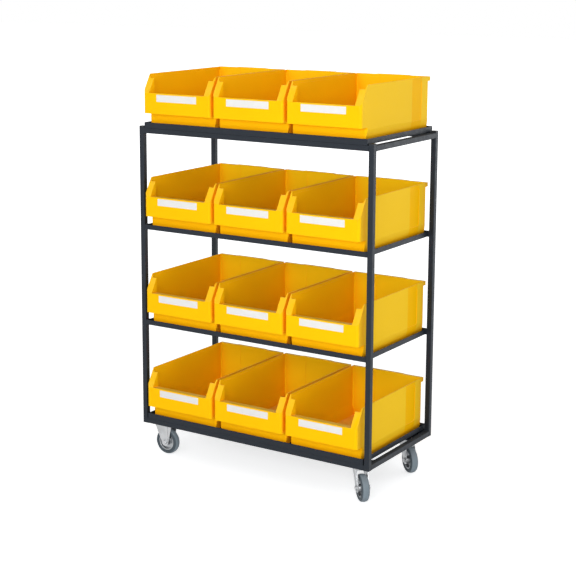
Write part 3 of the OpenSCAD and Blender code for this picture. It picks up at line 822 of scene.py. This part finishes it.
class TROLLEY_OT_weld_beads(bpy.types.Operator):
    """Lay the weld beads where the rails meet the posts"""

    bl_idname = "trolley.weld_beads"
    bl_label = "Weld beads"

    def execute(self, context):
        radius = context.scene.trolley_sizes.bead
        for level in ("top", "bottom"):
            beads = functools.partial(level_beads, level=level, radius=radius)
            piece = new_piece(f"{level}_weld_beads", beads, "frame_paint")
            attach(piece, "frame")
        return {"FINISHED"}


class TROLLEY_OT_bins(bpy.types.Operator):
    """Finish the twelve bins"""

    bl_idname = "trolley.bins"
    bl_label = "Bins"

    def execute(self, context):
        edge = context.scene.trolley_sizes.bin_edge
        for spot in BIN_PLACES:
            dress(f"bin_{spot}", "bin_plastic", edge, segments=3)
        return {"FINISHED"}


class TROLLEY_OT_labels(bpy.types.Operator):
    """Finish the blank label cards"""

    bl_idname = "trolley.labels"
    bl_label = "Label cards"

    def execute(self, context):
        edge = context.scene.trolley_sizes.card_edge
        for spot in BIN_PLACES:
            dress(f"label_{spot}", "label_card", edge)
        return {"FINISHED"}


class TROLLEY_OT_casters(bpy.types.Operator):
    """Finish the plated brackets, forks, axles and bolts"""

    bl_idname = "trolley.casters"
    bl_label = "Plated caster parts"

    def execute(self, context):
        edge = context.scene.trolley_sizes.zinc_edge
        for node in ZINC_NODES:
            dress(node, "zinc_steel", edge)
        return {"FINISHED"}


class TROLLEY_OT_wheels(bpy.types.Operator):
    """Make the tyres and finish the wheel centres"""

    bl_idname = "trolley.wheels"
    bl_label = "Wheels"

    def execute(self, context):
        sizes = context.scene.trolley_sizes
        profile = tyre_profile(sizes.ring)
        tread_from = max(out for along, out in profile) - TREAD_DEPTH
        turned = functools.partial(lathe, profile=profile, segments=TYRE_STEPS)
        for kind, end in WHEELS:
            middle, axis = wheel_joint(kind, end)
            turn = Vector((0.0, 0.0, 1.0)).rotation_difference(axis).to_matrix().to_4x4()
            # Running-face faces get the paler copy (painted light), the sides the darker copy (painted
            # shade)
            tyre = new_piece(f"{kind}_{end}_rubber", turned, "tyre_rubber")
            tyre.data.materials.append(finish("tyre_tread_painted_light"))
            for face in tyre.data.polygons:
                face.material_index = int(face.center.to_2d().length > tread_from)
            tyre.data.transform(Matrix.Translation(middle) @ turn)
            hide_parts(f"{kind}_tyre_{end}")
            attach(tyre, f"wheel_{kind}_{end}")
            dress(f"{kind}_hub_{end}", "wheel_centre", sizes.hub_edge)
        return {"FINISHED"}


def seen_rays(tree):
    """Mask of the rays by which something is seen, mirrored or looked at through glass."""
    ray = tree.nodes.new("ShaderNodeLightPath")
    seen = maths(tree, "ADD", ray.outputs["Is Camera Ray"], ray.outputs["Is Glossy Ray"], clamp=True)
    return maths(tree, "ADD", seen, ray.outputs["Is Transmission Ray"], clamp=True)


def by_ray(tree, unseen, seen):
    """One shader for the rays that light the object, another for those that see."""
    mix = tree.nodes.new("ShaderNodeMixShader")
    wire(tree, seen_rays(tree), mix.inputs[0])
    wire(tree, unseen, mix.inputs[1])
    wire(tree, seen, mix.inputs[2])
    return mix.outputs["Shader"]


def studio_world():
    """Soft grey light for the object, and plain white where the background is seen or mirrored."""
    world = bpy.data.worlds.new("studio")
    world.use_nodes = True
    tree = world.node_tree
    tree.nodes.clear()
    light = tree.nodes.new("ShaderNodeBackground")
    light.inputs["Color"].default_value = SKY_TINT
    way = tree.nodes.new("ShaderNodeTexCoord")
    axes = tree.nodes.new("ShaderNodeSeparateXYZ")
    wire(tree, way.outputs["Generated"], axes.inputs["Vector"])
    strength = spread(tree, axes.outputs["Z"], 0.0, 1.0, HORIZON_STRENGTH, ZENITH_STRENGTH)
    wire(tree, strength, light.inputs["Strength"])
    white = tree.nodes.new("ShaderNodeBackground")
    white.inputs["Color"].default_value = WHITE
    white.inputs["Strength"].default_value = 1.0
    output = tree.nodes.new("ShaderNodeOutputWorld")
    surround = by_ray(tree, light.outputs["Background"], white.outputs["Background"])
    wire(tree, surround, output.inputs["Surface"])
    bpy.context.scene.world = world


def floor_material(colour):
    """Pale matte floor that stays near white to the camera and keeps its shadow."""
    material = bpy.data.materials.new("floor_paint")
    material.use_nodes = True
    tree = material.node_tree
    tree.nodes.clear()
    shared = groups()
    tone = place(tree, shared["tone_drift"], Colour=solid(colour), Scale=0.7, Amount=0.004,
                 Sheen_Low=0.9, Sheen_High=1.0)
    matte = tree.nodes.new("ShaderNodeBsdfDiffuse")
    wire(tree, tone.outputs["Colour"], matte.inputs["Color"])
    glow = tree.nodes.new("ShaderNodeEmission")
    glow.inputs["Color"].default_value = WHITE
    spot = tree.nodes.new("ShaderNodeTexCoord")
    reach = tree.nodes.new("ShaderNodeVectorMath")
    reach.operation = "LENGTH"
    wire(tree, spot.outputs["Object"], reach.inputs[0])
    away = reach.outputs["Value"]
    strength = spread(tree, away, GLOW_NEAR, GLOW_FAR, GLOW_NEAR_STRENGTH, GLOW_FAR_STRENGTH)
    wire(tree, strength, glow.inputs["Strength"])
    both = tree.nodes.new("ShaderNodeAddShader")
    wire(tree, matte.outputs["BSDF"], both.inputs[0])
    wire(tree, glow.outputs["Emission"], both.inputs[1])
    output = tree.nodes.new("ShaderNodeOutputMaterial")
    surface = by_ray(tree, matte.outputs["BSDF"], both.outputs["Shader"])
    wire(tree, surface, output.inputs["Surface"])
    return material


def make_camera(stage):
    """The camera at the viewing angle of the stage's settings."""
    camera = bpy.data.cameras.new("camera")
    camera.lens = stage.lens
    camera.sensor_width = SENSOR_WIDTH
    camera.shift_x, camera.shift_y = stage.camera_shift
    camera.clip_end = VIEW_LIMIT
    viewer = bpy.data.objects.new("camera", camera)
    viewer.location = stage.camera_place
    viewer.rotation_euler = (math.radians(90.0) - stage.camera_tilt, 0.0, stage.camera_turn)
    bpy.context.scene.collection.objects.link(viewer)
    bpy.context.scene.camera = viewer


def make_floor(stage):
    """A wide square floor at the height of the wheels' lowest points."""
    side = stage.floor_size / 2.0
    mesh = bpy.data.meshes.new("floor")
    work = bmesh.new()
    corners = ((-side, -side), (side, -side), (side, side), (-side, side))
    work.faces.new([work.verts.new((x, y, 0.0)) for x, y in corners])
    work.to_mesh(mesh)
    work.free()
    mesh.materials.append(floor_material(stage.floor_colour))
    floor = bpy.data.objects.new("floor", mesh)
    bpy.context.scene.collection.objects.link(floor)


def soft_light(name, position, width, height, power):
    """A rectangular area lamp turned to the middle of the trolley."""
    lamp = bpy.data.lights.new(name, "AREA")
    lamp.shape = "RECTANGLE"
    lamp.size = width
    lamp.size_y = height
    lamp.energy = power
    body = bpy.data.objects.new(name, lamp)
    body.location = position
    aim = Vector(LAMP_TARGET) - Vector(position)
    body.rotation_euler = aim.to_track_quat("-Z", "Y").to_euler()
    bpy.context.scene.collection.objects.link(body)


class TROLLEY_OT_stage(bpy.types.Operator):
    """Set the camera, the lights, the white surround and the floor"""

    bl_idname = "trolley.stage"
    bl_label = "Studio stage"

    def execute(self, context):
        stage = context.scene.trolley_stage
        make_camera(stage)
        studio_world()
        for name, position, width, height, power in LAMPS:
            soft_light(name, position, width, height, power)
        make_floor(stage)
        context.scene.view_settings.view_transform = "Standard"
        context.scene.cycles.max_bounces = BOUNCES
        context.scene.cycles.diffuse_bounces = DIFFUSE_BOUNCES
        return {"FINISHED"}


OPERATORS = (
    TROLLEY_OT_frame_paint,
    TROLLEY_OT_post_caps,
    TROLLEY_OT_weld_beads,
    TROLLEY_OT_bins,
    TROLLEY_OT_labels,
    TROLLEY_OT_casters,
    TROLLEY_OT_wheels,
    TROLLEY_OT_stage,
)
SETTINGS = (
    ("trolley_finish", TrolleyFinish),
    ("trolley_sizes", TrolleySizes),
    ("trolley_stage", TrolleyStage),
)


class TROLLEY_PT_sidebar(bpy.types.Panel):
    """Lists the steps that dress the trolley"""

    bl_idname = "TROLLEY_PT_sidebar"
    bl_label = "Picking Trolley"
    bl_space_type = "VIEW_3D"
    bl_region_type = "UI"
    bl_category = "Trolley"

    def draw(self, context):
        for name, kind in SETTINGS:
            settings = getattr(context.scene, name)
            column = self.layout.column()
            for field in kind.__annotations__:
                column.prop(settings, field)
        for operator in OPERATORS:
            self.layout.operator(operator.bl_idname)


def register():
    """Adds the settings, the steps and the sidebar panel."""
    for name, kind in SETTINGS:
        bpy.utils.register_class(kind)
        setattr(bpy.types.Scene, name, bpy.props.PointerProperty(type=kind))
    for operator in OPERATORS:
        bpy.utils.register_class(operator)
    bpy.utils.register_class(TROLLEY_PT_sidebar)


def unregister():
    """Takes them out again, last first."""
    bpy.utils.unregister_class(TROLLEY_PT_sidebar)
    for operator in reversed(OPERATORS):
        bpy.utils.unregister_class(operator)
    for name, kind in reversed(SETTINGS):
        delattr(bpy.types.Scene, name)
        bpy.utils.unregister_class(kind)


def main():
    """Dresses the trolley step by step."""
    register()
    bpy.ops.trolley.frame_paint()
    bpy.ops.trolley.post_caps()
    bpy.ops.trolley.weld_beads()
    bpy.ops.trolley.bins()
    bpy.ops.trolley.labels()
    bpy.ops.trolley.casters()
    bpy.ops.trolley.wheels()
    bpy.ops.trolley.stage()


if __name__ == "__main__":
    main()
